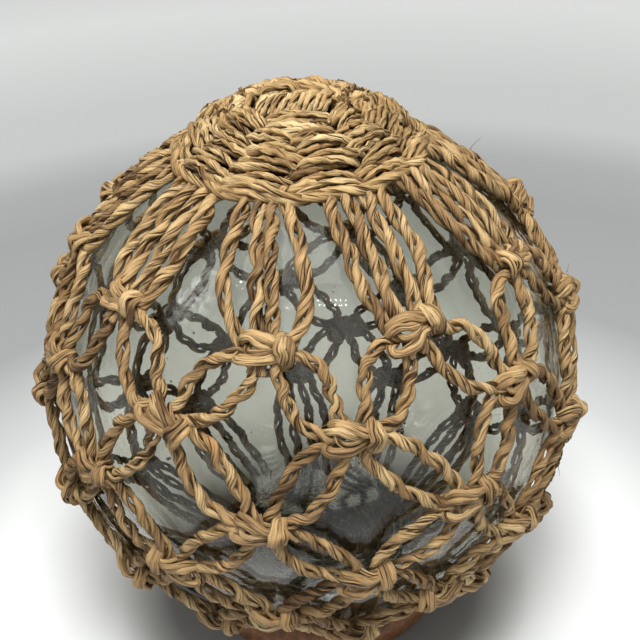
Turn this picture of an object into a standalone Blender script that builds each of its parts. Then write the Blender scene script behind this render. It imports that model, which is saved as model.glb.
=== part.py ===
"""A glass float ball in a knotted net of seagrass cord, with a twined cap above and below, on a low ring.

Lengths are in metres and +Z is up. The origin is on the floor, under the middle of the ball. A place on the
ball is given by an angle down from the top and an angle round from the front, both in degrees, and by its
height above the glass. The net, its knots and the group of cords at each cap are one body, because the cords
run through the knots from cap to cap.
"""
import math

import bmesh
import bpy
from mathutils import Vector

OBJECT_NAME = "glass_float_ball"

# Clearance between pieces that touch
GAP = 0.0003

# Glass ball
GLASS_RADIUS = 0.100
GLASS_SEGMENTS = 28

# Cord and knots
CORD_WIDTH = 0.0052
KNOT_LENGTH = 0.0170
KNOT_WIDTH = 0.0130
KNOT_HEIGHT = 0.0095

# Net: rows of knots, each row turned half a column against the row above it
COLUMNS = 10
FIRST_COLUMN = -11.0
KNOT_ROWS = (52.5, 69.0, 86.0, 101.5, 114.5, 127.5)
MESH_BOWS = (0.0080, 0.0070, 0.0065, 0.0060, 0.0055)
UPPER_MESH_POINTS = (0.36, 0.64)
LOWER_MESH_POINTS = (0.50,)
FINE_MESH_ROWS = 2

# Groups of four cords between a cap's edge and the nearest row of knots: their spacing at the edge, how far
# round they start, and how far the inner and the outer cords bow out. A power above 1 puts the widest place
# lower.
CORDS_PER_GROUP = 4
GROUP_SPACING = 0.0057
GROUP_TURN = -3.0
GROUP_INNER_BOW = 0.0010
GROUP_OUTER_BOW = 0.0035
GROUP_BOW_POWER = 1.3

# The front group leaves the cap closer together and bows out further
FRONT_GROUP = (0, 0)
FRONT_GROUP_SPACING = 0.0054
FRONT_GROUP_TURN = -5.0
FRONT_GROUP_BOW = 0.0064

# Where the cords of a group bend, as shares of their length
TOP_GROUP_POINTS = (0.25, 0.50, 0.75)
BOTTOM_GROUP_POINTS = (0.50,)

# Hand tying: how far a knot wanders off the regular net, the steps of that wander for each row, each column
# and at the start, and the knots that sit further off, as (down, round)
WANDER = 0.7
WANDER_DOWN = (2.3, 1.7, 0.0)
WANDER_AROUND = (1.9, -2.6, 1.0)
KNOT_SHIFTS = {
    (0, -2): (-1.5, -1.0),
    (0, -1): (-1.5, -1.0),
    (0, 0): (1.0, 1.5),
    (0, 1): (0.5, -2.0),
    (0, 2): (-1.5, -1.0),
    (1, -1): (-1.0, -0.5),
    (1, 0): (0.0, 0.0),
    (1, 1): (0.0, 0.0),
    (2, -1): (-2.0, 0.5),
    (2, 0): (0.0, 0.5),
    (2, 1): (0.5, 3.0),
    (3, -1): (-1.5, 0.0),
    (3, 0): (-2.0, 1.0),
    (4, 0): (-1.5, 0.5),
}

# Top cap: rounds of twining on the glass, with a raised ring about a hollow middle
CAP_EDGE = 25.0
CAP_ROUNDS = 11
CAP_ROUND_DEPTH = 0.0010
CAP_HEIGHTS = ((0.0, 0.0080), (5.0, 0.0090), (11.0, 0.0140), (18.0, 0.0120), (25.0, 0.0070))

# Base cap: a plain, flatter twined disc
BASE_EDGE = 25.0
BASE_ROUNDS = 4
BASE_ROUND_DEPTH = 0.0005
BASE_THICKNESS = 0.0065

# Turned caps and ring
TURN_STEPS = 24
UNDERSIDE_STEPS = 4

# Edges of the net sharper than this stay sharp when it is shaded smooth
SHARP_ANGLE = 50.0

# Ring stand: a round section with a flat foot
RING_RADIUS = 0.0460
RING_SECTION_RADIUS = 0.0095
RING_FOOT_DROP = 0.0085
RING_SECTION_STEPS = 11

# Heights above the glass at which straight-sided cords and caps clear the round ball
CORD_BED = GAP + (KNOT_LENGTH / 2) ** 2 / (2 * GLASS_RADIUS)
CAP_BED = GAP + GLASS_RADIUS * math.sin(math.radians(CAP_EDGE)) ** 2 * (1 - math.cos(math.pi / TURN_STEPS)) \
    + GLASS_RADIUS * (1 - math.cos(math.radians(CAP_EDGE) / UNDERSIDE_STEPS / 2))

# The base cap rests inside the ring's round top
BASE_RADIUS = GLASS_RADIUS + CAP_BED + BASE_THICKNESS
REST_DISTANCE = BASE_RADIUS + GAP + RING_SECTION_RADIUS
BALL_CENTRE = Vector((0.0, 0.0, RING_FOOT_DROP + math.sqrt(REST_DISTANCE ** 2 - RING_RADIUS ** 2)))

# Names of the eight cord ends of a knot, counted from the right, anticlockwise seen from outside
RIGHT_UPPER, TOP_RIGHT, TOP_LEFT, LEFT_UPPER, LEFT_LOWER, BOTTOM_LEFT, BOTTOM_RIGHT, RIGHT_LOWER = range(8)
KNOT_SIDES = 8


def clear_scene():
    """Removes whatever the file starts with."""
    for item in list(bpy.data.objects):
        bpy.data.objects.remove(item, do_unlink=True)


def make_collection(name):
    """A collection for the parts of the object."""
    collection = bpy.data.collections.new(name)
    bpy.context.scene.collection.children.link(collection)
    return collection


def make_material(name, colour, roughness, metallic=0.0):
    """A plain Principled material; colour is linear red, green and blue."""
    material = bpy.data.materials.new(name)
    material.use_nodes = True
    shader = material.node_tree.nodes["Principled BSDF"]
    shader.inputs["Base Color"].default_value = (*colour, 1.0)
    shader.inputs["Roughness"].default_value = roughness
    shader.inputs["Metallic"].default_value = metallic
    return material


def add_object(name, mesh, material, collection):
    """Links a mesh as one named part."""
    part = bpy.data.objects.new(name, mesh)
    part.data.materials.append(material)
    collection.objects.link(part)
    return part


def on_ball(down, around, height):
    """The point at two angles and a height above the glass."""
    down, around = math.radians(down), math.radians(around)
    radius = GLASS_RADIUS + height
    return BALL_CENTRE + radius * Vector((
        math.sin(down) * math.sin(around),
        -math.sin(down) * math.cos(around),
        math.cos(down),
    ))


def lifted(point, height):
    """The point moved along its own radius to a height above the glass."""
    return BALL_CENTRE + (point - BALL_CENTRE).normalized() * (GLASS_RADIUS + height)


def column_angle(row, column):
    """Angle round from the front of a knot in the regular net."""
    return FIRST_COLUMN + (column + 0.5 * (row % 2)) * 360.0 / COLUMNS


def wander(row, column, steps):
    """How far one angle of a knot wanders off: a sine of its row and column."""
    row_step, column_step, start = steps
    return WANDER * math.sin(row_step * row + column_step * column + start)


def knot_place(row, column):
    """Angles of a knot: its place in the regular net, plus how far hand tying put it off."""
    wandered = wander(row, column, WANDER_DOWN), wander(row, column, WANDER_AROUND)
    shift_down, shift_around = KNOT_SHIFTS.get((row, column), wandered)
    return KNOT_ROWS[row] + shift_down, column_angle(row, column) + shift_around


def ring_across(net, centre, sideways):
    """Four corners of a cord's section: left, top, right and bottom, seen from outside along its run."""
    left = lifted(centre + sideways * CORD_WIDTH / 2, CORD_BED + CORD_WIDTH / 2)
    right = lifted(centre - sideways * CORD_WIDTH / 2, CORD_BED + CORD_WIDTH / 2)
    top = lifted(centre, CORD_BED + CORD_WIDTH)
    bottom = lifted(centre, CORD_BED)
    return [net.verts.new(corner) for corner in (left, top, right, bottom)]


def join_rings(net, first, second):
    """Four faces between two sections of a cord."""
    for side in range(4):
        after = (side + 1) % 4
        net.faces.new((first[side], first[after], second[after], second[side]))


def add_knot(net, down, around):
    """One knot as a low eight-sided boss; returns its centre and its eight open cord ends."""
    centre = on_ball(down, around, CORD_BED + CORD_WIDTH / 2)
    out = (centre - BALL_CENTRE).normalized()
    right = Vector((0.0, 0.0, 1.0)).cross(out).normalized()
    up = out.cross(right)

    def rim_point(angle):
        return centre + right * (KNOT_LENGTH / 2 * math.cos(angle)) + up * (KNOT_WIDTH / 2 * math.sin(angle))

    step = 2 * math.pi / KNOT_SIDES
    rim = [rim_point(step * side) for side in range(KNOT_SIDES)]
    corners = [net.verts.new(lifted(point, CORD_BED + CORD_WIDTH / 2)) for point in rim]
    middles = [(rim[side] + rim[(side + 1) % KNOT_SIDES]) / 2 for side in range(KNOT_SIDES)]
    tops = [net.verts.new(lifted(point, CORD_BED + CORD_WIDTH)) for point in middles]
    bottoms = [net.verts.new(lifted(point, CORD_BED)) for point in middles]
    crown = net.verts.new(lifted(centre, KNOT_HEIGHT))
    sole = net.verts.new(lifted(centre, CORD_BED))
    for side in range(KNOT_SIDES):
        after = (side + 1) % KNOT_SIDES
        net.faces.new((tops[side], tops[after], crown))
        net.faces.new((bottoms[after], bottoms[side], sole))
        net.faces.new((tops[after], tops[side], corners[after]))
        net.faces.new((bottoms[side], bottoms[after], corners[after]))
    ends = [[corners[(side + 1) % KNOT_SIDES], tops[side], corners[side], bottoms[side]]
            for side in range(KNOT_SIDES)]
    return centre, ends


def reversed_end(end):
    """A cord end seen by a cord that arrives: its left and right change places."""
    left, top, right, bottom = end
    return [right, top, left, bottom]


def add_mesh_cord(net, upper, upper_end, lower, lower_end, bow, shares):
    """A cord from a knot to one in the next row, bowed to one side of the line between their middles."""
    start, goal = upper[0], lower[0]
    along = goal - start
    rings = [upper[1][upper_end]]
    for share in shares:
        middle = start + along * share
        sideways = (middle - BALL_CENTRE).cross(along).normalized()
        centre = middle + sideways * (bow * math.sin(math.pi * share))
        rings.append(ring_across(net, centre, sideways))
    rings.append(reversed_end(lower[1][lower_end]))
    for first, second in zip(rings, rings[1:]):
        join_rings(net, first, second)


def add_group(net, knot, place, middle_around, edge, knot_ends, spacing, outer_bow, shares):
    """The four cords between a cap's edge and a knot, side by side at the edge, the outer two bowed out."""
    down, around = place
    direction = 1 if down > edge else -1
    edge_down = edge + direction * math.degrees(GAP / GLASS_RADIUS)
    edge_offset = math.radians(middle_around - around) * GLASS_RADIUS * math.sin(math.radians(edge))
    across = Vector((math.cos(math.radians(around)), math.sin(math.radians(around)), 0.0))
    for number, knot_end in enumerate(knot_ends):
        from_middle = number - (CORDS_PER_GROUP - 1) / 2
        bow = math.copysign(outer_bow if abs(from_middle) > 1 else GROUP_INNER_BOW, from_middle)
        start_offset = edge_offset + from_middle * spacing
        corners = knot[1][knot_end]
        end_offset = ((corners[0].co + corners[2].co) / 2 - knot[0]).dot(across)
        rings = []
        for share in (0.0, *shares):
            offset = start_offset + (end_offset - start_offset) * share
            offset += bow * math.sin(math.pi * share ** GROUP_BOW_POWER)
            share_down = edge_down + (down - edge_down) * share
            turn = math.degrees(offset / (GLASS_RADIUS * math.sin(math.radians(share_down))))
            centre = on_ball(share_down, around + turn, CORD_BED + CORD_WIDTH / 2)
            turned_angle = math.radians(around + turn)
            sideways = direction * Vector((math.cos(turned_angle), math.sin(turned_angle), 0.0))
            rings.append(ring_across(net, centre, sideways))
        rings.append(reversed_end(corners))
        net.faces.new(rings[0])
        for first, second in zip(rings, rings[1:]):
            join_rings(net, first, second)


def build_net(collection, material):
    """Knots in staggered rows, a bowed pair of cords to each neighbour below, and a group at each cap."""
    net = bmesh.new()
    last_row = len(KNOT_ROWS) - 1
    columns = range(-(COLUMNS // 2), COLUMNS - COLUMNS // 2)
    places = {(row, column): knot_place(row, column) for row in range(last_row + 1) for column in columns}
    knots = {key: add_knot(net, *place) for key, place in places.items()}

    for row in range(last_row):
        bow = MESH_BOWS[row]
        shares = UPPER_MESH_POINTS if row < FINE_MESH_ROWS else LOWER_MESH_POINTS
        for column in columns:
            upper = knots[row, column]
            lower_left = knots[row + 1, wrapped(column - 1 + row % 2)]
            lower_right = knots[row + 1, wrapped(column + row % 2)]
            add_mesh_cord(net, upper, RIGHT_LOWER, lower_right, TOP_LEFT, bow, shares)
            add_mesh_cord(net, upper, BOTTOM_RIGHT, lower_right, LEFT_UPPER, -bow, shares)
            add_mesh_cord(net, upper, BOTTOM_LEFT, lower_left, RIGHT_UPPER, bow, shares)
            add_mesh_cord(net, upper, LEFT_LOWER, lower_left, TOP_RIGHT, -bow, shares)

    top_ends = (LEFT_UPPER, TOP_LEFT, TOP_RIGHT, RIGHT_UPPER)
    bottom_ends = (LEFT_LOWER, BOTTOM_LEFT, BOTTOM_RIGHT, RIGHT_LOWER)
    groups = ((0, CAP_EDGE, top_ends, TOP_GROUP_POINTS),
              (last_row, 180.0 - BASE_EDGE, bottom_ends, BOTTOM_GROUP_POINTS))
    for row, edge, ends, shares in groups:
        for column in columns:
            key = row, column
            spacing, turn, outer_bow = GROUP_SPACING, GROUP_TURN, GROUP_OUTER_BOW
            if key == FRONT_GROUP:
                spacing, turn, outer_bow = FRONT_GROUP_SPACING, FRONT_GROUP_TURN, FRONT_GROUP_BOW
            middle_around = column_angle(row, column) + turn
            add_group(net, knots[key], places[key], middle_around, edge, ends, spacing, outer_bow, shares)

    bmesh.ops.triangulate(net, faces=net.faces[:])
    bmesh.ops.recalc_face_normals(net, faces=net.faces[:])
    mesh = bpy.data.meshes.new("net")
    net.to_mesh(mesh)
    net.free()
    mesh.shade_smooth()
    mesh.set_sharp_from_angle(angle=math.radians(SHARP_ANGLE))
    return add_object("net", mesh, material, collection)


def wrapped(column):
    """The same column counted within one turn about the ball."""
    first = -(COLUMNS // 2)
    return (column - first) % COLUMNS + first


def build_glass(collection, material):
    """The sealed ball."""
    ball = bmesh.new()
    rings = GLASS_SEGMENTS // 2
    bmesh.ops.create_uvsphere(ball, u_segments=GLASS_SEGMENTS, v_segments=rings, radius=GLASS_RADIUS)
    mesh = bpy.data.meshes.new("glass_ball")
    ball.to_mesh(mesh)
    ball.free()
    mesh.shade_smooth()
    part = add_object("glass_ball", mesh, material, collection)
    part.location = BALL_CENTRE
    return part


def turned(name, profile, closed, collection, material):
    """A solid turned about Z from a profile of (radius, height) points that runs down its outer side."""
    edges = [(index, index + 1) for index in range(len(profile) - 1)]
    if closed:
        edges.append((len(profile) - 1, 0))
    mesh = bpy.data.meshes.new(name)
    mesh.from_pydata([(radius, 0.0, height) for radius, height in profile], edges, [])
    part = add_object(name, mesh, material, collection)
    screw = part.modifiers.new("turn", "SCREW")
    screw.axis = "Z"
    screw.angle = 2 * math.pi
    screw.steps = TURN_STEPS
    screw.render_steps = TURN_STEPS
    screw.use_merge_vertices = True
    screw.merge_threshold = 0.00001
    screw.use_smooth_shade = True
    return part


def cap_height(down):
    """Height of the top cap's rounds above the glass, read smoothly between the named heights."""
    for (near, low), (far, high) in zip(CAP_HEIGHTS, CAP_HEIGHTS[1:]):
        if down <= far:
            share = (down - near) / (far - near)
            return low + (high - low) * (1 - math.cos(math.pi * share)) / 2
    return CAP_HEIGHTS[-1][1]


def disc_point(down, height):
    """A profile point at an angle from the top and a height above the glass."""
    point = on_ball(down, 90.0, height)
    return max(point.x, 0.0), point.z


def build_top_cap(collection, material):
    """The thick twined cap: a ridge for each round, then the rim and the underside on the glass."""
    profile = []
    stations = 2 * CAP_ROUNDS
    for station in range(stations + 1):
        down = CAP_EDGE * station / stations
        valley = 0.0 if station % 2 else CAP_ROUND_DEPTH
        profile.append(disc_point(down, CAP_BED + cap_height(down) - valley))
    for station in range(UNDERSIDE_STEPS, -1, -1):
        profile.append(disc_point(CAP_EDGE * station / UNDERSIDE_STEPS, CAP_BED))
    return turned("top_cap", profile, False, collection, material)


def build_base_cap(collection, material):
    """The flatter twined cap under the ball, from its hollow upper side round the rim to its underside."""
    profile = []
    for station in range(UNDERSIDE_STEPS + 1):
        profile.append(disc_point(180.0 - BASE_EDGE * station / UNDERSIDE_STEPS, CAP_BED))
    stations = 2 * BASE_ROUNDS
    for station in range(stations, -1, -1):
        valley = BASE_ROUND_DEPTH if station % 2 else 0.0
        down = 180.0 - BASE_EDGE * station / stations
        profile.append(disc_point(down, CAP_BED + BASE_THICKNESS - valley))
    return turned("base_cap", profile, False, collection, material)


def build_ring(collection, material):
    """The ring stand: its profile goes up inside, over the top, down outside and back along the foot."""
    foot_turn = math.acos(RING_FOOT_DROP / RING_SECTION_RADIUS)
    inner_foot = 1.5 * math.pi - foot_turn
    outer_foot = -0.5 * math.pi + foot_turn
    profile = []
    for step in range(RING_SECTION_STEPS + 1):
        angle = inner_foot + (outer_foot - inner_foot) * step / RING_SECTION_STEPS
        radius = RING_RADIUS + RING_SECTION_RADIUS * math.cos(angle)
        profile.append((radius, RING_FOOT_DROP + RING_SECTION_RADIUS * math.sin(angle)))
    return turned("ring_stand", profile, True, collection, material)


def main():
    """Builds every part."""
    clear_scene()
    parts = make_collection(OBJECT_NAME)
    glass = make_material("clear_glass", (0.62, 0.72, 0.70), 0.05)
    seagrass = make_material("seagrass_cord", (0.45, 0.27, 0.11), 0.75)
    twining = make_material("seagrass_twining", (0.50, 0.32, 0.14), 0.75)
    wood = make_material("stained_wood", (0.16, 0.07, 0.03), 0.45)
    build_glass(parts, glass)
    build_net(parts, seagrass)
    build_top_cap(parts, twining)
    build_base_cap(parts, twining)
    build_ring(parts, wood)


main()
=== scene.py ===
"""Looks of a glass float ball in a knotted net of two-ply seagrass cord, with twined caps, on a low ring.

Lengths are in metres and +Z is up. A place on the ball is an angle down from the top and an angle round from
the front, in degrees, and a height above the glass. Shapes are numpy arrays: every cord is a grid of stations
along it and points around it, worked out for all cords of a piece at once.
"""
import math

import bpy
import numpy as np
from mathutils import Matrix, Vector


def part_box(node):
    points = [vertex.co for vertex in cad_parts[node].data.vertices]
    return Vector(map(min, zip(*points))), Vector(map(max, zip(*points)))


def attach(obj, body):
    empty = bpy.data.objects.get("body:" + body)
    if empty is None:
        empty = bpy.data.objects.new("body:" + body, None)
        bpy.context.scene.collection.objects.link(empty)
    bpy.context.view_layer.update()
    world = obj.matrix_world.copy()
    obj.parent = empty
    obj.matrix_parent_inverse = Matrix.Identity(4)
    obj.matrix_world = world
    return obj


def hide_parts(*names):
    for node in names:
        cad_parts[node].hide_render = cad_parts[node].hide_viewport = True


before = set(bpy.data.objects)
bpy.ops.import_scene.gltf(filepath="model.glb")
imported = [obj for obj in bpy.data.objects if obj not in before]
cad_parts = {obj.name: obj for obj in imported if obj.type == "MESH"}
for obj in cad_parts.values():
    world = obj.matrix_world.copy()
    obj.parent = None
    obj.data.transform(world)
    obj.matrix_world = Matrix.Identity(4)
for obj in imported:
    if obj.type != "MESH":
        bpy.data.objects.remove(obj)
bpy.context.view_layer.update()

MILLIMETRE = 0.001
rng = np.random.default_rng(11)

# The glass, as the solids have it
glass_low, glass_high = (np.array(corner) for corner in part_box("glass_ball"))
BALL_CENTRE = (glass_low + glass_high) / 2
GLASS_RADIUS = (glass_high[2] - glass_low[2]) / 2
GLASS_WALL = 0.0030

# The net, as the solids have it
KNOT_LENGTH = 0.0170
KNOT_WIDTH = 0.0130
COLUMNS = 10
FIRST_COLUMN = -11.0
KNOT_ROWS = (52.5, 69.0, 86.0, 101.5, 114.5, 127.5)
MESH_BOWS = (0.0080, 0.0070, 0.0065, 0.0060, 0.0055)
CORDS_PER_GROUP = 4
GROUP_SPACING = 0.0057
GROUP_TURN = -3.0
GROUP_INNER_BOW = 0.0010
GROUP_OUTER_BOW = 0.0035
GROUP_BOW_POWER = 1.3
FRONT_GROUP = (0, 0)
FRONT_GROUP_TURN = -5.0
FRONT_GROUP_BOW = 0.0064
FRONT_GROUP_INNER_BOW = -0.0002
WANDER = 0.7
WANDER_DOWN = (2.3, 1.7, 0.0)
WANDER_AROUND = (1.9, -2.6, 1.0)
KNOT_SHIFTS = {
    (0, -2): (-1.5, -1.0),
    (0, -1): (-1.5, -1.0),
    (0, 0): (1.0, 1.5),
    (0, 1): (0.5, -2.0),
    (0, 2): (-1.5, -1.0),
    (1, -1): (-1.0, -0.5),
    (1, 0): (0.0, 0.0),
    (1, 1): (0.0, 0.0),
    (2, -1): (-2.0, 0.5),
    (2, 0): (0.0, 0.5),
    (2, 1): (0.5, 3.0),
    (3, -1): (-1.5, 0.0),
    (3, 0): (-2.0, 1.0),
    (4, 0): (-1.5, 0.5),
}
# The front group's cords press against each other at the cap, closer than solids can lie
FRONT_GROUP_SPACING = 0.0043

COLUMN_NUMBERS = range(-(COLUMNS // 2), COLUMNS - COLUMNS // 2)
LAST_ROW = len(KNOT_ROWS) - 1

# The caps and the ring, as the solids have them
CAP_EDGE = 25.0
CAP_ROUNDS = 11
CAP_HEIGHTS = ((0.0, 0.0080), (5.0, 0.0090), (11.0, 0.0140), (18.0, 0.0120), (25.0, 0.0070))
BASE_EDGE = 25.0
RING_RADIUS = 0.0460
RING_SECTION_RADIUS = 0.0095
RING_FOOT_DROP = 0.0085

# Two-ply cord: each ply is a flattened strand that winds about the cord's middle
TWIST_PITCH = 0.0195
GROUP_TWIST_PITCH = 0.0255
PLY_OFFSET = 0.00132
PLY_THICKNESS = 0.0021
PLY_BREADTH = 0.0034
GROUP_CORD_SIZE = 1.08
PLY_SIDES, LOW_PLY_SIDES = 16, 12
PLY_ROLL = 0.045
CORD_HEIGHT = 0.0032
# How uneven it is: spreads of its pitch and its plies' width, and slow waves as a depth and the most waves
PITCH_SPREAD = (0.82, 1.22)
PLY_SPREAD = (0.84, 1.10)
TURN_WAVES, WIDTH_WAVES, OFFSET_WAVES = (0.30, 5), (0.13, 8), (0.15, 6)
SLACK_UP, SLACK_ASIDE = 0.0003, 0.00048

# A strand's folds: how far they stand in or out, how many are creases, how deep those are and how they roll
FOLD_SPREAD = (-0.10, 0.08)
CREASES = 2
CREASE_DEPTHS = (0.3, 1.0)
ROLL_SPREAD = (0.5, 1.2)
END_CREASE = 0.2

# Tones of strands between 0, brown, and 1, straw yellow: the middle one and their spread
CORD_TONES = (0.50, 0.13)
KNOT_TONES = (0.47, 0.12)
STUB_TONES = (0.50, 0.20)
HOLLOW_TONES = (0.66, 0.16)
LEAF_TONES = (0.74, 0.14)
CREST_TONES = (0.60, 0.15)
CAP_TONE_SPREAD = 0.15

# Camera, found from the knots and the outline: it looks down on the ball from the front
CAMERA_DISTANCE = 4.2 * GLASS_RADIUS
CAMERA_ELEVATION = 34.5
CAMERA_PITCH = 2.4
CAMERA_YAW = 0.6
CAMERA_ROLL = -3.2
PICTURE_SIZE = 640
FOCAL_PIXELS = 1036
SENSOR_WIDTH = 36.0


def unit(vectors):
    """The vectors along the last axis divided by their lengths."""
    return vectors / np.linalg.norm(vectors, axis=-1, keepdims=True)


def directions(down, around):
    """Unit vectors at angles down d and round a: (sin d sin a, -sin d cos a, cos d)."""
    down, around = np.broadcast_arrays(np.radians(down), np.radians(around))
    return np.stack([np.sin(down) * np.sin(around), -np.sin(down) * np.cos(around), np.cos(down)], -1)


def on_ball(down, around, height):
    """Places on the ball: its middle plus radius and height times the direction."""
    return BALL_CENTRE + (GLASS_RADIUS + np.asarray(height))[..., None] * directions(down, around)


def lifted(points, height):
    """The points moved along their own radii to a height above the glass."""
    height = np.broadcast_to(height, points.shape[:-1])
    return BALL_CENTRE + unit(points - BALL_CENTRE) * (GLASS_RADIUS + height)[..., None]


def smooth_path(points, count):
    """A Catmull-Rom curve through points (..., n, k), read at even steps, each a blend of four points."""
    first = 2 * points[..., :1, :] - points[..., 1:2, :]
    last = 2 * points[..., -1:, :] - points[..., -2:-1, :]
    padded = np.concatenate([first, points, last], axis=-2)
    place = np.linspace(0, points.shape[-2] - 1, count)
    span = np.minimum(place.astype(int), points.shape[-2] - 2)
    share = (place - span)[:, None]
    before, start, end, after = (padded[..., span + step, :] for step in range(4))
    return 0.5 * (2 * start + (end - before) * share + (2 * before - 5 * start + 4 * end - after) * share ** 2
                  + (3 * start - before - 3 * end + after) * share ** 3)


def slow_waves(shape, stations, waves):
    """Random curves between about -1 and 1: half the sum of three sines, each of up to so many waves."""
    along = np.linspace(0, 2 * math.pi, stations)
    total = np.zeros((*shape, stations))
    for _ in range(3):
        phase = rng.uniform(0, 2 * math.pi, (*shape, 1))
        speed = rng.uniform(0.3, 1.0, (*shape, 1)) * waves
        total += np.sin(speed * along + phase)
    return total / 2


def random_tones(middle, spread, count):
    """Tones between 0 and 1 that scatter about a middle one."""
    return np.clip(middle + spread * rng.standard_normal(count), 0, 1)


def mesh_object(name, points, corners, coordinates, marks):
    """A mesh from arrays: faces of any corner counts, UV pairs for corners, tone and crease for points."""
    mesh = bpy.data.meshes.new(name)
    mesh.vertices.add(len(points))
    mesh.vertices.foreach_set("co", points.astype(np.float32).ravel())
    loops = np.concatenate([block.ravel() for block in corners])
    totals = np.concatenate([np.full(len(block), block.shape[1]) for block in corners])
    mesh.loops.add(len(loops))
    mesh.loops.foreach_set("vertex_index", loops.astype(np.int32))
    mesh.polygons.add(len(totals))
    mesh.polygons.foreach_set("loop_start", (np.cumsum(totals) - totals).astype(np.int32))
    mesh.update(calc_edges=True)
    layer = mesh.uv_layers.new(name="strand")
    pairs = np.concatenate([block.reshape(-1, 2) for block in coordinates])
    layer.data.foreach_set("uv", pairs.astype(np.float32).ravel())
    for number, mark in enumerate(("tone", "crease")):
        attribute = mesh.attributes.new(mark, "FLOAT", "POINT")
        attribute.data.foreach_set("value", marks[:, number].astype(np.float32))
    mesh.validate()
    mesh.shade_smooth()
    piece = bpy.data.objects.new(name, mesh)
    bpy.context.scene.collection.objects.link(piece)
    return piece


def tube_arrays(rings, tones, closed=False):
    """Faces of tubes given as rings (tube, station, point, 3 or 4): quads between rings, fans on open ends.

    Point m of a ring turns anticlockwise about the run, so the quad (s, m), (s, m+1), (s+1, m+1), (s+1, m)
    faces out. U goes once around and V is the length along the tube. A point's fourth number is how deep it
    lies in a crease, which the seagrass paints as shade. Tones are one number for each tube, or one for each
    station.
    """
    tubes, stations, sides = rings.shape[:3]
    crease = rings[..., 3] if rings.shape[-1] == 4 else np.zeros(rings.shape[:3])
    rings = rings[..., :3]
    tones = np.broadcast_to(np.reshape(tones, (tubes, -1)), (tubes, stations))
    tube = np.arange(tubes)[:, None, None] * stations * sides
    steps = np.arange(stations if closed else stations - 1)[:, None]
    side = np.arange(sides)
    after, following = (side + 1) % sides, (steps + 1) % stations
    quads = np.stack([tube + steps * sides + side, tube + steps * sides + after,
                      tube + following * sides + after, tube + following * sides + side], -1).reshape(-1, 4)
    middles = rings.mean(axis=2)
    run = np.linalg.norm(np.roll(middles, -1, axis=1) - middles, axis=-1)
    length = np.concatenate([np.zeros((tubes, 1)), np.cumsum(run, axis=1)], axis=1)
    shape = (tubes, len(steps), sides)
    u_low, u_high = np.broadcast_to(side / sides, shape), np.broadcast_to((side + 1) / sides, shape)
    v_low = np.broadcast_to(length[:, :len(steps), None], shape)
    v_high = np.broadcast_to(length[:, 1:len(steps) + 1, None], shape)
    quad_uv = np.stack([np.stack([u_low, v_low], -1), np.stack([u_high, v_low], -1),
                        np.stack([u_high, v_high], -1), np.stack([u_low, v_high], -1)], -2).reshape(-1, 4, 2)
    points = rings.reshape(-1, 3)
    marks = np.stack([np.repeat(tones.ravel(), sides), crease.ravel()], -1)
    if closed:
        return points, [quads], [quad_uv], marks
    ends = middles[:, [0, -1]].reshape(-1, 3)
    end_index = len(points) + np.arange(2 * tubes).reshape(tubes, 2, 1)
    first = np.arange(tubes)[:, None] * stations * sides
    last = first + (stations - 1) * sides
    start_fan = np.stack([np.broadcast_to(end_index[:, 0], (tubes, sides)), first + after, first + side], -1)
    end_fan = np.stack([np.broadcast_to(end_index[:, 1], (tubes, sides)), last + side, last + after], -1)
    fans = np.concatenate([start_fan, end_fan]).reshape(-1, 3)
    fan_uv = np.zeros((len(fans), 3, 2))
    end_marks = np.stack([tones[:, [0, -1]].ravel(), np.full(2 * tubes, END_CREASE)], -1)
    points = np.concatenate([points, ends])
    return points, [quads, fans], [quad_uv, fan_uv], np.concatenate([marks, end_marks])


def joined(blocks):
    """Several sets of tube arrays as one: each set's point numbers move past the points before it."""
    points, corners, coordinates, marks, offset = [], [], [], [], 0
    for block_points, block_corners, block_uv, block_marks in blocks:
        points.append(block_points)
        corners.extend(faces + offset for faces in block_corners)
        coordinates.extend(block_uv)
        marks.append(block_marks)
        offset += len(block_points)
    return np.concatenate(points), corners, coordinates, np.concatenate(marks)


def run_of(middle, closed=False):
    """Unit direction of run at each point of paths (path, station, 3)."""
    if closed:
        return unit(np.roll(middle, -1, axis=1) - np.roll(middle, 1, axis=1))
    return unit(np.gradient(middle, axis=1))


def run_frames(axis):
    """Direction of run, outward normal and their cross product at each point of paths (path, station, 3)."""
    run = run_of(axis)
    out = unit(axis - BALL_CENTRE)
    normal = unit(out - (out * run).sum(-1, keepdims=True) * run)
    return run, normal, np.cross(run, normal)


def strand_rings(middle, thick_way, thickness, breadth, sides, closed=False, roll=0.0, crease_depth=0.30):
    """Rings of flattened strands: middle + t/2 cos(p) A + b/2 sin(p) B, A the thick way and B = run x A.

    Every point around keeps its own small share in or out all along the strand, and a few of them lie in a
    crease, like the folds of a twisted leaf. Roll turns them, and so the creases, slowly about the strand.
    """
    strands, stations = middle.shape[:2]
    run = run_of(middle, closed)
    thick_way = unit(thick_way - (thick_way * run).sum(-1, keepdims=True) * run)
    broad_way = np.cross(run, thick_way)
    turned = roll * np.linspace(-1, 1, stations)[:, None] * rng.uniform(*ROLL_SPREAD, (strands, 1, 1))
    angle = 2 * math.pi * np.arange(sides) / sides + turned
    folds = 1 + rng.uniform(*FOLD_SPREAD, (strands, sides))
    crease = np.zeros((strands, sides))
    for _ in range(CREASES):
        place = (np.arange(strands), rng.integers(0, sides, strands))
        depth = rng.uniform(*CREASE_DEPTHS, strands)
        folds[place] = 1 - crease_depth * depth
        crease[place] = depth

    def off_middle(size, wave, way):
        """Half a size, times a wave around the strand and its folds, along a direction."""
        half = np.broadcast_to(size, (strands, stations))[..., None] / 2
        return (half * wave * folds[:, None])[..., None] * way[:, :, None]

    points = middle[:, :, None] + off_middle(thickness, np.cos(angle), thick_way)
    points = points + off_middle(breadth, np.sin(angle), broad_way)
    # How deep each point lies in a crease, which the seagrass material darkens as painted shade
    crease = np.broadcast_to(crease[:, None, :, None], (strands, stations, sides, 1))
    return np.concatenate([points, crease], -1)


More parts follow.
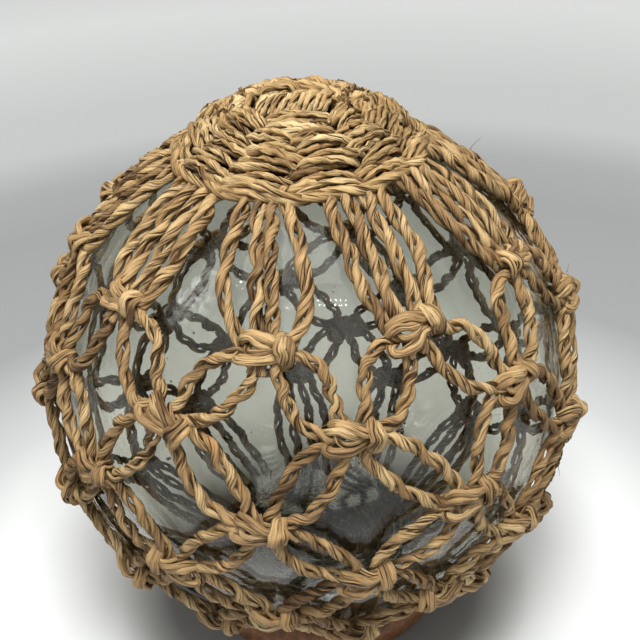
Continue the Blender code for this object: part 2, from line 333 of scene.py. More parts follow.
def lengths_along(path):
    """Length from the start to each point of paths (path, station, 3)."""
    step = np.linalg.norm(np.diff(path, axis=1), axis=-1)
    return np.concatenate([np.zeros((len(path), 1)), np.cumsum(step, axis=1)], axis=1)


def twisted_cords(axis, first_turn, pitch, size, sides, taper=1.0):
    """Rings of the two plies of cords laid along axis (cord, station, 3).

    Ply k is at axis + r (cos(w) N + sin(w) S), w = first turn + 2 pi length / pitch + k pi, with N away from
    the ball and S = run x N, which lays the cord to the right. Taper thins the cord along its run.
    """
    _, normal, side = run_frames(axis)
    length = lengths_along(axis)
    pitches = pitch * rng.uniform(*PITCH_SPREAD, (len(axis), 1))
    roll = float(length[:, -1].mean()) / PLY_ROLL * math.pi

    def waves(depth, most):
        """Slow waves of this depth along every cord."""
        return depth * slow_waves((len(axis),), axis.shape[1], most)

    rings = []
    for ply in range(2):
        turn = np.reshape(first_turn, (-1, 1)) + 2 * math.pi * length / pitches + ply * math.pi
        turn = turn + waves(*TURN_WAVES)
        radial = np.cos(turn)[..., None] * normal + np.sin(turn)[..., None] * side
        swell = size * taper * (1 + waves(*WIDTH_WAVES)) * rng.uniform(*PLY_SPREAD, (len(axis), 1))
        reach = PLY_OFFSET * size * taper * (1 + waves(*OFFSET_WAVES))
        middle = axis + reach[..., None] * radial
        thickness, breadth = PLY_THICKNESS * swell, PLY_BREADTH * swell
        rings.append(strand_rings(middle, radial, thickness, breadth, sides, roll=roll))
    return np.concatenate(rings)


def column_angle(row, column):
    """Angle round from the front of a knot in the regular net."""
    return FIRST_COLUMN + (column + 0.5 * (row % 2)) * 360.0 / COLUMNS


def wander(row, column, steps):
    """How far one angle of a knot wanders off: a sine of its row and column."""
    row_step, column_step, start = steps
    return WANDER * math.sin(row_step * row + column_step * column + start)


def knot_place(row, column):
    """Angles of a knot: its place in the regular net, plus how far hand tying put it off."""
    wandered = wander(row, column, WANDER_DOWN), wander(row, column, WANDER_AROUND)
    shift_down, shift_around = KNOT_SHIFTS.get((row, column), wandered)
    return KNOT_ROWS[row] + shift_down, column_angle(row, column) + shift_around


def wrapped(column):
    """The same column counted within one turn about the ball."""
    first = COLUMN_NUMBERS[0]
    return (column - first) % COLUMNS + first


KNOT_PLACES = {(row, column): knot_place(row, column) for row in range(LAST_ROW + 1)
               for column in COLUMN_NUMBERS}


def knot_frame(keys):
    """Middle, right and up of each knot, seen from outside, as arrays (knot, 3)."""
    places = np.array([KNOT_PLACES[key] for key in keys])
    middle = on_ball(places[:, 0], places[:, 1], CORD_HEIGHT)
    out = unit(middle - BALL_CENTRE)
    right = unit(np.cross([0.0, 0.0, 1.0], out))
    return middle, right, np.cross(out, right)


# How a cord leaves or enters a knot: the place of its end and the way it runs there, as (right, up)
SIDE_REACH = 0.48 * KNOT_LENGTH
LOWER_SIDE_END = (SIDE_REACH, -0.05 * KNOT_WIDTH)
UPPER_SIDE_END = (SIDE_REACH, 0.16 * KNOT_WIDTH)
STEEP_END = (0.20 * KNOT_LENGTH, 0.42 * KNOT_WIDTH)
SIDE_RUN = (1.0, -0.12)
STEEP_RUN = (0.30, -1.0)
HIDDEN_END = 0.0045
# The curve between two knots: the spread of its bow, its handles' least and greatest length and its points
BOW_SPREAD = (0.9, 1.1)
HANDLE_LENGTHS = (0.004, 0.016)
CURVE_POINTS = 24
# A group's run, as shares of the way from the cap's edge to its knot: from under the cap to inside the knot
GROUP_RUN = (-0.16, 0.97)
GROUP_END_SHARE = 0.8


def mesh_cord_paths(rows, stations):
    """Paths of the cords between knots of the given rows and the rows below them, as (cord, station, 3).

    Each is a cubic Bezier curve between two knot ends. It leaves one knot sideways and enters the next from
    above, or the other way round. Its handles are as long as the bow asks: the middle of the curve moves off
    the chord by 3/8 of the handles' difference. A straight bit at both ends hides in the knots.
    """
    cords = [(row, column, wrapped(column + step + row % 2), mirror, sideways)
             for row in rows for column in COLUMN_NUMBERS
             for mirror, step in ((1, 0), (-1, -1)) for sideways in (True, False)]
    mirror = np.array([cord[3] for cord in cords])[:, None]
    sideways_first = np.array([cord[4] for cord in cords])[:, None]
    upper_middle, upper_right, upper_up = knot_frame([(row, column) for row, column, *_ in cords])
    lower_middle, lower_right, lower_up = knot_frame([(row + 1, target) for row, _, target, *_ in cords])

    def local(right, up, pair_first, pair_second, sign):
        """A vector of a knot's plane: one pair for cords that leave sideways, another for the others."""
        across = np.where(sideways_first, pair_first[0], pair_second[0]) * mirror * sign
        upward = np.where(sideways_first, pair_first[1], pair_second[1])
        return across * right + upward * up

    start = upper_middle + local(upper_right, upper_up, LOWER_SIDE_END, (STEEP_END[0], -STEEP_END[1]), 1)
    end = lower_middle + local(lower_right, lower_up, STEEP_END, UPPER_SIDE_END, -1)
    start_run = unit(local(upper_right, upper_up, SIDE_RUN, STEEP_RUN, 1))
    end_run = unit(local(lower_right, lower_up, STEEP_RUN, SIDE_RUN, 1))

    along = lower_middle - upper_middle
    middle = (lower_middle + upper_middle) / 2
    outside = unit(np.cross(middle - BALL_CENTRE, along))
    outside = outside * np.sign(((start_run - end_run) * outside).sum(-1, keepdims=True))
    already = (((start + end) / 2 - middle) * outside).sum(-1)
    turn = ((start_run - end_run) * outside).sum(-1)
    bow = np.array([MESH_BOWS[cord[0]] for cord in cords]) * rng.uniform(*BOW_SPREAD, len(cords))
    handle = np.clip((bow - already) * 8 / 3 / turn, *HANDLE_LENGTHS)[:, None]
    share = np.linspace(0, 1, CURVE_POINTS)[None, :, None]
    first_handle, second_handle = start + handle * start_run, end - handle * end_run
    curve = ((1 - share) ** 3 * start[:, None] + 3 * share * (1 - share) ** 2 * first_handle[:, None]
             + 3 * share ** 2 * (1 - share) * second_handle[:, None] + share ** 3 * end[:, None])
    path = np.concatenate([(start - HIDDEN_END * start_run)[:, None], curve,
                           (end + HIDDEN_END * end_run)[:, None]], axis=1)
    return laid_on_glass(evenly(path, stations))


def evenly(path, stations):
    """The same paths read at even lengths along them, each path by linear steps between its points."""
    length = lengths_along(path)
    wanted = np.linspace(0, 1, stations) * length[:, -1:]
    return np.stack([[np.interp(places, known, points[:, axis])
                      for places, known, points in zip(wanted, length, path)] for axis in range(3)], -1)


def laid_on_glass(path):
    """Paths at a cord's height above the glass, with a little slack sideways and up and down."""
    path = lifted(path, CORD_HEIGHT + SLACK_UP * slow_waves((len(path),), path.shape[1], 4))
    _, _, side = run_frames(path)
    return path + SLACK_ASIDE * slow_waves((len(path),), path.shape[1], 6)[..., None] * side


def group_paths(row, edge, stations):
    """Paths of the groups of four cords between a cap's edge and the nearest row of knots.

    At the edge they lie side by side. Their distance from the knot's meridian goes evenly from there to the
    knot's own end, plus bow sin(pi share^1.3), which puts the widest place below the middle.
    """
    share = np.linspace(*GROUP_RUN, stations)
    inside = np.clip(share, 0, 1)
    paths = []
    for column in COLUMN_NUMBERS:
        down, around = KNOT_PLACES[row, column]
        spacing, turn, outer, inner = GROUP_SPACING, GROUP_TURN, GROUP_OUTER_BOW, GROUP_INNER_BOW
        if (row, column) == FRONT_GROUP:
            spacing, turn, outer = FRONT_GROUP_SPACING, FRONT_GROUP_TURN, FRONT_GROUP_BOW
            inner = FRONT_GROUP_INNER_BOW
        edge_turn = math.radians(column_angle(row, column) + turn - around)
        edge_offset = edge_turn * GLASS_RADIUS * math.sin(math.radians(edge))
        for number, end in enumerate((-SIDE_REACH, -STEEP_END[0], STEEP_END[0], SIDE_REACH)):
            from_middle = number - (CORDS_PER_GROUP - 1) / 2
            bow = math.copysign(1, from_middle) * (outer if abs(from_middle) > 1 else inner)
            start = edge_offset + from_middle * spacing
            offset = start + (GROUP_END_SHARE * end - start) * inside
            offset = offset + bow * np.sin(math.pi * inside ** GROUP_BOW_POWER)
            share_down = edge + (down - edge) * share
            across = np.degrees(offset / (GLASS_RADIUS * np.sin(np.radians(share_down))))
            paths.append(on_ball(share_down, around + across, CORD_HEIGHT))
    return laid_on_glass(np.stack(paths))


# The plies that show on a square knot of the two outer cords about the two inner ones: breadth and thickness
# in millimetres, then points as (right, up, height above the glass). An upper bar of two crossing plies, a
# lower bar that turns back at the left, and a loop of two plies that holds both bars at the right.
KNOT_PLIES = (
    (2.5, 2.0, ((-8.8, 2.4, 2.8), (-7.6, 4.0, 5.6), (-5.0, 4.2, 7.6), (-2.4, 3.1, 8.0), (0.4, 2.0, 7.2),
                (2.6, 1.7, 5.6), (4.6, 1.8, 4.0))),
    (3.0, 2.1, ((-7.8, 4.9, 3.0), (-5.8, 5.9, 5.2), (-3.0, 5.7, 7.4), (0.0, 4.5, 8.4), (2.6, 3.3, 7.8),
                (4.8, 2.6, 6.0), (6.6, 2.2, 4.2))),
    (1.7, 1.4, ((-1.8, 6.4, 4.2), (0.6, 5.5, 6.2), (2.6, 4.5, 6.8), (4.6, 3.7, 5.6), (6.0, 3.2, 4.2))),
    (2.1, 1.8, ((-5.6, 4.2, 3.0), (-5.7, 2.2, 5.2), (-5.2, 0.2, 6.6), (-3.4, -0.5, 7.2), (-0.8, 0.2, 7.4),
                (2.0, 0.6, 6.8), (4.4, 0.6, 5.2), (6.2, 0.6, 4.0))),
    (3.2, 2.2, ((-6.6, 0.6, 2.6), (-8.8, -0.8, 3.8), (-9.0, -2.8, 5.4), (-6.4, -3.4, 7.0), (-2.6, -2.7, 7.8),
                (0.8, -1.9, 7.2), (3.4, -1.5, 5.8), (5.6, -1.2, 4.2))),
    (3.5, 2.0, ((5.2, 6.2, 2.4), (5.2, 5.4, 5.4), (5.3, 3.4, 8.2), (5.4, 0.9, 9.2), (5.4, -1.3, 8.6),
                (5.5, -2.9, 6.6), (5.6, -3.4, 4.0))),
    (2.8, 1.9, ((7.2, 5.2, 2.6), (7.7, 4.2, 5.4), (8.0, 2.0, 7.4), (8.0, -0.6, 7.5), (7.6, -2.8, 6.2),
                (6.6, -4.2, 4.6), (5.4, -4.6, 2.8))),
)
# Cut ends that stick out below every third knot or so, in the same way, and how much they flare
KNOT_STUBS = (
    (1.7, 1.5, ((-4.4, -2.6, 4.4), (-4.6, -5.0, 4.8), (-4.5, -7.6, 4.6))),
    (2.8, 1.7, ((-0.2, -3.0, 4.2), (-0.5, -5.6, 4.8), (-0.9, -8.4, 5.0))),
)
STUBS_EVERY = 3
STUB_FLARE = 0.12
KNOT_STATIONS, STUB_STATIONS, KNOT_SIDES = 22, 8, 12
# How far knots are turned in their own plane, in degrees anticlockwise, and how far the rest may be
KNOT_TILTS = {(0, 0): 0.0, (0, 1): 14.0, (1, -1): -30.0, (1, 0): -4.0}
KNOT_TILT = 9.0
MIRRORED_EVERY = 9
# Knots are pulled tight: a little lower than laid out, with their plies pressed broader
KNOT_SQUEEZE = (1.0, 0.90, 1.0)
KNOT_PLY_FULLNESS = 1.14
KNOT_JITTER = 0.00028


def knot_ply_rings(keys, ply, stations, flare=0.0):
    """One ply of each knot as rings: its points in the knot's plane, turned and now and then mirrored."""
    breadth, thickness, points = ply
    middle, right, up = knot_frame(keys)
    points = np.array(points) * MILLIMETRE * KNOT_SQUEEZE
    points = points + rng.normal(0, KNOT_JITTER, (len(keys), *points.shape))
    row, column = np.array(keys).T[..., None]
    mirror = np.where((row * 4 + column * 7) % MIRRORED_EVERY == 5, -1, 1)
    tilts = [KNOT_TILTS.get(key, KNOT_TILT * math.sin(5 * key[0] + 3 * key[1])) for key in keys]
    tilt = np.radians(tilts)[:, None]
    size = 0.97 + 0.06 * np.sin(3 * row + 2 * column)
    across, upward = points[..., 0] * mirror * size, points[..., 1] * size
    turned_across = across * np.cos(tilt) - upward * np.sin(tilt)
    turned_upward = across * np.sin(tilt) + upward * np.cos(tilt)
    local = smooth_path(np.stack([turned_across, turned_upward, points[..., 2]], -1), stations)
    flat = middle[:, None] + local[..., :1] * right[:, None] + local[..., 1:2] * up[:, None]
    path = lifted(flat, local[..., 2])
    swell = 1 + 0.10 * slow_waves((len(keys),), stations, 4) + flare * np.linspace(-1, 1, stations)
    return strand_rings(path, unit(path - BALL_CENTRE), thickness * MILLIMETRE * swell,
                        KNOT_PLY_FULLNESS * breadth * MILLIMETRE * swell, KNOT_SIDES, roll=0.5,
                        crease_depth=0.24)


# Loose fibres: their size, how many leave each set of cords and each ply of the knots, and where on the ply
FIBRE_LENGTH = 0.0062
FIBRE_WIDTH = 0.00032
FIBRE_STATIONS = 6
FIBRE_LIFT = 0.0006
CORD_FIBRES, KNOT_FIBRES = 14, 5
KNOT_FIBRE_STATIONS = [4, 18]


def fibre_rings(starts):
    """Loose fibres: each leaves its start in a random direction, mostly off the ball, bends and tapers."""
    first = unit(unit(starts - BALL_CENTRE) * 0.5 + rng.normal(0, 0.8, starts.shape))
    bend = rng.normal(0, 0.5, starts.shape)
    reach = (FIBRE_LENGTH * rng.uniform(0.4, 1.0, len(starts)))[:, None, None]
    share = np.linspace(0, 1, FIBRE_STATIONS)[None, :, None]
    path = starts[:, None] + reach * (share * first[:, None] + share ** 2 * bend[:, None])
    height = np.linalg.norm(path - BALL_CENTRE, axis=-1) - GLASS_RADIUS
    path = lifted(path, np.maximum(height, FIBRE_LIFT))
    width = FIBRE_WIDTH * np.linspace(1.0, 0.35, FIBRE_STATIONS)
    return strand_rings(path, unit(path - BALL_CENTRE), width, width, 4, crease_depth=0.0)


def srgb(code):
    """A colour given as #RRGGBB made linear: c/12.92 below 0.04045, else ((c + 0.055)/1.055)^2.4."""
    channels = [int(code[place:place + 2], 16) / 255 for place in (1, 3, 5)]
    linear = [c / 12.92 if c <= 0.04045 else ((c + 0.055) / 1.055) ** 2.4 for c in channels]
    return (*linear, 1.0)


def add_node(tree, kind, values=None, links=None, **settings):
    """Adds one shader node with its settings, the values of its sockets and the links into them.

    A link comes from a socket, or from the first output of a node.
    """
    node = tree.nodes.new("ShaderNode" + kind)
    for name, value in settings.items():
        setattr(node, name, value)
    for socket, value in (values or {}).items():
        node.inputs[socket].default_value = value
    for socket, source in (links or {}).items():
        output = source.outputs[0] if isinstance(source, bpy.types.Node) else source
        tree.links.new(output, node.inputs[socket])
    return node


def set_stops(ramp, stops):
    """Gives a colour ramp its stops, as positions and colours from low to high."""
    elements = ramp.color_ramp.elements
    for number in (0, -1):
        elements[number].position = stops[number][0]
        elements[number].color = srgb(stops[number][1])
    for position, colour in stops[1:-1]:
        elements.new(position).color = srgb(colour)


# Sockets of the Mix node when it mixes colours
MIX_FACTOR, MIX_FIRST, MIX_SECOND, MIX_RESULT = 0, 6, 7, 2

# Marks on seagrass, in millimetres across and along a strand about 9 mm around, and how detailed they are
STRAND_AROUND_MM = 9.0
FIBRE_STREAKS = (0.50, 9.0, 3.0)
LEAF_FOLDS = (1.5, 16.0, 2.0)
TONE_PATCHES = (7.0, 14.0, 2.0)
RUSSET_PATCHES = (9.0, 40.0, 0.0)
TONE_SEED_STEP = 61.0
# Grain of the ring's wood, in millimetres across and along it
GRAIN_ACROSS_MM, GRAIN_ALONG_MM = 2.5, 30.0


def new_material(name, values):
    """A material with a Principled shader that has these plain values."""
    material = bpy.data.materials.new(name)
    material.use_nodes = True
    shader = material.node_tree.nodes["Principled BSDF"]
    for socket, value in values.items():
        shader.inputs[socket].default_value = value
    return material, material.node_tree, shader


def seagrass_material(name, pale, middle, dark, russet):
    """Dried seagrass, twisted by hand: matt with a faint waxy sheen, streaked and creased along its leaves.

    Each ply has its own tone, from brown to straw yellow. Long patches vary it, a few plies turn russet and
    fine dark streaks run along the fibres. The grooves of the fold relief and the creases are darkest:
    painted shade.
    """
    material, tree, shader = new_material(name, {"Roughness": 0.58, "IOR": 1.45, "Specular IOR Level": 0.40})
    uv = add_node(tree, "UVMap", uv_map="strand")
    tone = add_node(tree, "Attribute", attribute_name="tone").outputs["Fac"]
    crease = add_node(tree, "Attribute", attribute_name="crease").outputs["Fac"]
    seed = add_node(tree, "Math", {1: TONE_SEED_STEP}, {0: tone}, operation="MULTIPLY")

    def stretched_noise(across_mm, along_mm, detail):
        """Noise in cells of this size along a strand, different on every ply."""
        scale = (STRAND_AROUND_MM / across_mm, 1 / (MILLIMETRE * along_mm), 1.0)
        cells = add_node(tree, "Mapping", {"Scale": scale}, {"Vector": uv})
        return add_node(tree, "TexNoise", {"Scale": 1.0, "Detail": detail, "Roughness": 0.62},
                        {"Vector": cells, "W": seed}, noise_dimensions="4D")

    streaks = stretched_noise(*FIBRE_STREAKS)
    folds = stretched_noise(*LEAF_FOLDS)
    patches = stretched_noise(*TONE_PATCHES)
    redness = stretched_noise(*RUSSET_PATCHES)

    patched = add_node(tree, "Math", {1: 0.50, 2: 0.0}, {0: patches}, operation="MULTIPLY_ADD")
    leaf = add_node(tree, "Math", {1: 0.50}, {0: tone, 2: patched}, operation="MULTIPLY_ADD")
    ramp = add_node(tree, "ValToRGB", links={"Fac": leaf})
    set_stops(ramp, ((0.28, dark), (0.50, middle), (0.70, pale)))
    colour = ramp.outputs["Color"]
    # Russet patches and fibre streaks are the seagrass's own colour; the fold and crease marks are painted
    # shade
    for source, low, high, at_low, at_high, shade, blend in (
            (redness, 0.60, 0.80, 0.0, 0.50, russet, "MIX"),
            (streaks, 0.35, 0.49, 1.0, 0.0, "#6A5742", "MULTIPLY"),
            (folds, 0.36, 0.45, 1.0, 0.0, "#5A4734", "MULTIPLY"),
            (crease, 0.40, 1.0, 0.0, 0.85, "#4A3826", "MULTIPLY")):
        marks = add_node(tree, "MapRange", {"From Min": low, "From Max": high, "To Min": at_low,
                                            "To Max": at_high}, {"Value": source})
        marked = add_node(tree, "Mix", {MIX_SECOND: srgb(shade)}, {MIX_FACTOR: marks, MIX_FIRST: colour},
                          data_type="RGBA", blend_type=blend)
        colour = marked.outputs[MIX_RESULT]
    relief = add_node(tree, "Math", {1: 1.5}, {0: folds, 2: streaks}, operation="MULTIPLY_ADD")
    bump = add_node(tree, "Bump", {"Strength": 1.0, "Distance": 0.0009}, {"Height": relief})
    tree.links.new(colour, shader.inputs["Base Color"])
    tree.links.new(bump.outputs["Normal"], shader.inputs["Normal"])
    return material


def glass_material():
    """Blown soda-lime glass: clear with a faint green-grey body colour and a bright smooth surface."""
    return new_material("blown_soda_lime_glass", {
        "Base Color": srgb("#ECEDE5"), "Roughness": 0.0, "IOR": 1.5, "Transmission Weight": 1.0})[0]


def wood_material():
    """Turned softwood with brown stain: satin, with grain that runs from front to back."""
    material, tree, shader = new_material("brown_stained_turned_wood", {"Roughness": 0.42, "IOR": 1.5})
    place = add_node(tree, "TexCoord").outputs["Object"]
    across, along = 1 / (MILLIMETRE * GRAIN_ACROSS_MM), 1 / (MILLIMETRE * GRAIN_ALONG_MM)
    stretch = add_node(tree, "Mapping", {"Scale": (across, along, across)}, {"Vector": place})
    grain = add_node(tree, "TexNoise", {"Scale": 1.0, "Detail": 4.0, "Distortion": 0.6}, {"Vector": stretch})
    ramp = add_node(tree, "ValToRGB", links={"Fac": grain})
    set_stops(ramp, ((0.3, "#5E3A20"), (0.7, "#8E5E38")))
    bump = add_node(tree, "Bump", {"Strength": 0.2, "Distance": 0.0002}, {"Height": grain})
    tree.links.new(ramp.outputs["Color"], shader.inputs["Base Color"])
    tree.links.new(bump.outputs["Normal"], shader.inputs["Normal"])
    return material


CORD_SEAGRASS = seagrass_material("twisted_seagrass_cord", "#DCC08E", "#BA996B", "#74583C", "#A87C4C")
CAP_SEAGRASS = seagrass_material("twined_seagrass", "#E0C592", "#BB9A69", "#6C5034", "#AA7E4C")
GLASS = glass_material()
WOOD = wood_material()


def finished_piece(name, blocks, material, slot, *nodes):
    """Makes a new piece of tube arrays, with its material, its body and the nodes it stands for; the slot is
    not used.
    """
    piece = mesh_object(name, *joined(blocks))
    piece.data.materials.append(material)
    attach(piece, "root")
    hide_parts(*nodes)


def net_piece(name, blocks):
    """Makes a piece of the net."""
    finished_piece(name, blocks, CORD_SEAGRASS, "seagrass_cord", "net")


def build_net():
    """The net as pieces of plies: groups at both caps, cords between knots, the knots and loose fibres.

    Each set of cords has its paths, the points around a ply, its size against the named one and its pitch.
    """
    cords = {
        "net_top_cords": [(group_paths(0, CAP_EDGE, 46), PLY_SIDES, GROUP_CORD_SIZE, GROUP_TWIST_PITCH)],
        "net_upper_meshes": [(mesh_cord_paths((0, 1), 36), PLY_SIDES, 1.0, TWIST_PITCH)],
        "net_middle_meshes": [(mesh_cord_paths((2, 3), 26), LOW_PLY_SIDES, 1.0, TWIST_PITCH)],
        "net_lower_meshes": [(mesh_cord_paths((4,), 24), LOW_PLY_SIDES, 1.0, TWIST_PITCH),
                             (group_paths(LAST_ROW, 180.0 - BASE_EDGE, 30), LOW_PLY_SIDES, 1.0, TWIST_PITCH)],
    }
    fibre_starts = []
    for name, sets in cords.items():
        blocks = []
        for paths, sides, size, pitch in sets:
            first_turn = rng.uniform(0, 2 * math.pi, len(paths))
            rings = twisted_cords(paths, first_turn, pitch, size, sides)
            blocks.append(tube_arrays(rings, random_tones(*CORD_TONES, len(rings))))
            on_cords = rings[..., 0, :3].reshape(-1, 3)
            fibre_starts.append(on_cords[rng.integers(0, len(on_cords), CORD_FIBRES)])
        net_piece(name, blocks)
    for name, rows in {"net_upper_knots": range(3), "net_lower_knots": range(3, LAST_ROW + 1)}.items():
        keys = [key for key in KNOT_PLACES if key[0] in rows]
        blocks = []
        for ply in KNOT_PLIES:
            rings = knot_ply_rings(keys, ply, KNOT_STATIONS)
            blocks.append(tube_arrays(rings, random_tones(*KNOT_TONES, len(keys))))
            on_knots = rings[:, KNOT_FIBRE_STATIONS, 0, :3].reshape(-1, 3)
            fibre_starts.append(on_knots[rng.integers(0, len(on_knots), KNOT_FIBRES)])
        stub_keys = [key for key in keys if (key[0] * 5 + key[1] * 3) % STUBS_EVERY == 0]
        for stub in KNOT_STUBS:
            rings = knot_ply_rings(stub_keys, stub, STUB_STATIONS, STUB_FLARE)
            blocks.append(tube_arrays(rings, random_tones(*STUB_TONES, len(stub_keys))))
        net_piece(name, blocks)
    rings = fibre_rings(np.concatenate(fibre_starts))
    net_piece("loose_seagrass_fibres", [tube_arrays(rings, rng.uniform(0.8, 1.0, len(rings)))])


def cap_height(down):
    """Height of the top cap above the glass, read between the named heights by steps of half a cosine."""
    down = np.asarray(down, dtype=float)
    height = np.full(down.shape, CAP_HEIGHTS[-1][1])
    for (near, low), (far, high) in reversed(list(zip(CAP_HEIGHTS, CAP_HEIGHTS[1:]))):
        share = np.clip((down - near) / (far - near), 0, 1)
        height = np.where(down <= far, low + (high - low) * (1 - np.cos(math.pi * share)) / 2, height)
    return height


# Stitches of the caps: how many to a round, where the seam at the front lies, their twist, slant and dive
RIM_STITCHES = 11
FIRST_SEAM = -2.0
SEAM_DRIFT = 3.0
STITCH_PITCH = 0.046
STITCH_SLANT = -0.0012
STITCH_DIVE = 0.0034
STITCH_STATIONS = 14
STITCH_TURN = (math.pi / 2 - 0.9, 0.45)
# How far they wander down, round, in slant and in height, how far they overlap and how their sizes spread
DOWN_SPREAD, AROUND_SPREAD, SLANT_SPREAD, HEIGHT_SPREAD = 0.30, 1.6, 0.0005, 0.00045
OVERLAPS = (1.10, 1.30)
STITCH_SIZES = (0.86, 1.14)


def stitch_paths(down, around, span, slant, height):
    """Paths of stitches about the pole, one for each place (down, around), as (stitch, station, 3).

    A stitch is straight between its seams: down is multiplied by cos(half span) / cos(angle from its middle).
    It moves across its round by slant from end to end, and dives at both ends by 1 - sin(pi share)^0.45, more
    at the end that the next stitch covers.
    """
    share = np.linspace(0, 1, STITCH_STATIONS)[None]
    down, around, span, slant, height = (np.asarray(value, dtype=float)[:, None]
                                         for value in (down, around, span, slant, height))
    turn = (share - 0.5) * span
    polygon = np.cos(np.radians(span / 2)) / np.cos(np.radians(np.minimum(np.abs(turn), span / 2)))
    from_pole = np.where(down > 90, 180 - down, down) * polygon
    from_pole = from_pole + np.degrees(slant * (share - 0.5) / GLASS_RADIUS)
    dive = 1 - np.clip(np.sin(math.pi * share), 0, 1) ** 0.45
    rise = height - STITCH_DIVE * dive - 0.0009 * (share - 0.4)
    return on_ball(np.where(down > 90, 180 - from_pole, from_pole), around + turn, rise)


def stitch_taper():
    """How wide a stitch is along its run, against its widest: round at its start, slim where it dives."""
    share = np.linspace(0, 1, STITCH_STATIONS)
    return 0.50 + 0.56 * np.clip(np.sin(math.pi * share ** 0.85), 0, 1) ** 0.6


def twined_stitches(downs, heights, counts, size, sides, tone, gap=0.0, reach=180.0):
    """Tubes of all stitches of rounds about the pole, each stitch two plies side by side with a slow twist.

    A gap leaves out the stitches whose middle is nearer to the front, and a reach those further from it.
    """
    places = []
    for down, height, count in zip(downs, heights, counts):
        drift = rng.uniform(-SEAM_DRIFT, SEAM_DRIFT)
        for number in range(count):
            around = (FIRST_SEAM + drift + (number + 0.5) * 360.0 / count + 180.0) % 360.0 - 180.0
            if gap <= abs(around) <= reach:
                places.append((down, around, 360.0 / count, height))
    down, around, span, height = np.array(places).T
    amount = len(down)
    down = down + rng.normal(0, DOWN_SPREAD, amount)
    around = around + rng.normal(0, AROUND_SPREAD, amount)
    span = span * rng.uniform(*OVERLAPS, amount)
    slant = STITCH_SLANT + rng.normal(0, SLANT_SPREAD, amount)
    height = height + rng.normal(0, HEIGHT_SPREAD, amount)
    paths = stitch_paths(down, around, span, slant, height)
    size = size * rng.uniform(*STITCH_SIZES, (amount, 1))
    first_turn = rng.normal(*STITCH_TURN, amount)
    rings = twisted_cords(paths, first_turn, STITCH_PITCH, size, sides, stitch_taper())
    return tube_arrays(rings, random_tones(tone, CAP_TONE_SPREAD, len(rings)))


def painted_shade_rounds(downs, heights, thickness, around=60):
    """Painted shade under the stitches: plain rounds of the darkest tone, fully creased, that close the gaps
    between them.
    """
    turn = 360.0 * np.arange(around) / around
    middle = on_ball(np.array(downs)[:, None], turn[None], np.array(heights)[:, None])
    rings = strand_rings(middle, unit(middle - BALL_CENTRE), thickness, thickness * 1.25, 8, True)
    # Painted shade: fully creased, and below, the darkest tone
    rings[..., 3] = 1.0
    return tube_arrays(rings, np.zeros(len(rings)), True)


# Rounds of the top cap: places down, stitches to a round, and how near to and far from the front they go. The
# rim's six rounds are whole, and the two inner ones leave out the hollow in front and the crest behind.
CAP_STITCH_ROUNDS = ((np.linspace(CAP_EDGE - 0.4, 14.4, 6), RIM_STITCHES, 0.0, 180.0),
                     ([12.3], 10, 40.0, 100.0), ([10.2], 9, 55.0, 106.0))
STITCH_SIZE, STITCH_SIDES, STITCH_TONE = 0.96, 12, 0.52
STITCH_SINK = 0.0016
# The round that closes the hollow at its edge, lower than its neighbours
FILL_DOWN = 8.6
FILL_HEIGHT = 0.0080
FILL_STITCHES, FILL_SIZE, FILL_TONE = 8, 0.92, 0.45
# The rounds of painted shade below, in two layers: a share of the cap's height less a depth
DARK_LAYERS = ((1.0, 0.0058), (0.5, 0.0034))
DARK_LOWEST, DARK_THICKNESS = 0.0020, 0.0036
# The rope under the rim's stitches: its place, and its plies' thickness, breadth and offset
RIM_DOWN = 24.9
RIM_HEIGHT = 0.0046
RIM_PLY_THICKNESS, RIM_PLY_BREADTH, RIM_PLY_OFFSET = 0.0024, 0.0036, 0.0011
RIM_STATIONS, RIM_TWISTS = 180, 9
# The top cap's middle: strands side by side across the hollow, from the nearest one back
HOLLOW_STRANDS = 6
HOLLOW_NEAR = -0.0222
HOLLOW_STEP = 0.0034
HOLLOW_HALF = 0.0118
HOLLOW_NEAR_HEIGHT = 0.0098
HOLLOW_FAR_HEIGHT = 0.0080
HOLLOW_STATIONS, HOLLOW_PITCH, HOLLOW_SIZE = 20, 0.050, 0.88
# Slanting stitches along the hollow's far side: how many, the first one's foot, their step, lean and reach
LEAVES = 9
LEAF_START = -0.0105
LEAF_STEP = 0.0026
LEAF_LEAN = 0.0046
LEAF_FOOT, LEAF_HEAD = (-0.0035, 0.0082), (0.0080, 0.0104)
LEAF_STATIONS, LEAF_PITCH, LEAF_SIZE = 10, 0.034, 0.98
# Fat stitches round the far side of the crest, and a rope in front of them
CREST_DOWN = 11.6
CREST_HEIGHT = 0.0115
CREST_STITCH = 36.0
CREST_NUMBERS = range(2, 8)
CREST_PITCH, CREST_SIZE, CREST_SIDES = 0.036, 1.60, 14
ROPE_START, ROPE_END = 96.0, 236.0
ROPE_DOWN = 8.0
ROPE_HEIGHTS = (0.0100, 0.0106, 0.0112, 0.0122, 0.0116)
ROPE_STATIONS, ROPE_PITCH, ROPE_SIZE, ROPE_FIRST_TURN = 50, 0.052, 1.30, 2.2
ROPE_TONES = (0.46, 0.70)
# Bundles of cut cord ends: angle round from the front, angle down and how many ends, and their size
CUT_ENDS = ((-110.0, 9.6, 9), (-82.0, 12.5, 8), (62.0, 9.0, 9), (92.0, 9.0, 14), (104.0, 10.4, 12))
CUT_END_LENGTH, CUT_END_STATIONS = 0.0040, 5
CUT_END_ROOT = 0.0028


def over_pole(x, y, height):
    """Places over the top of the ball: sideways and front-to-back distances from the pole and a height."""
    down = np.degrees(np.hypot(x, y) / GLASS_RADIUS)
    return on_ball(down, np.degrees(np.arctan2(x, -y)), height)


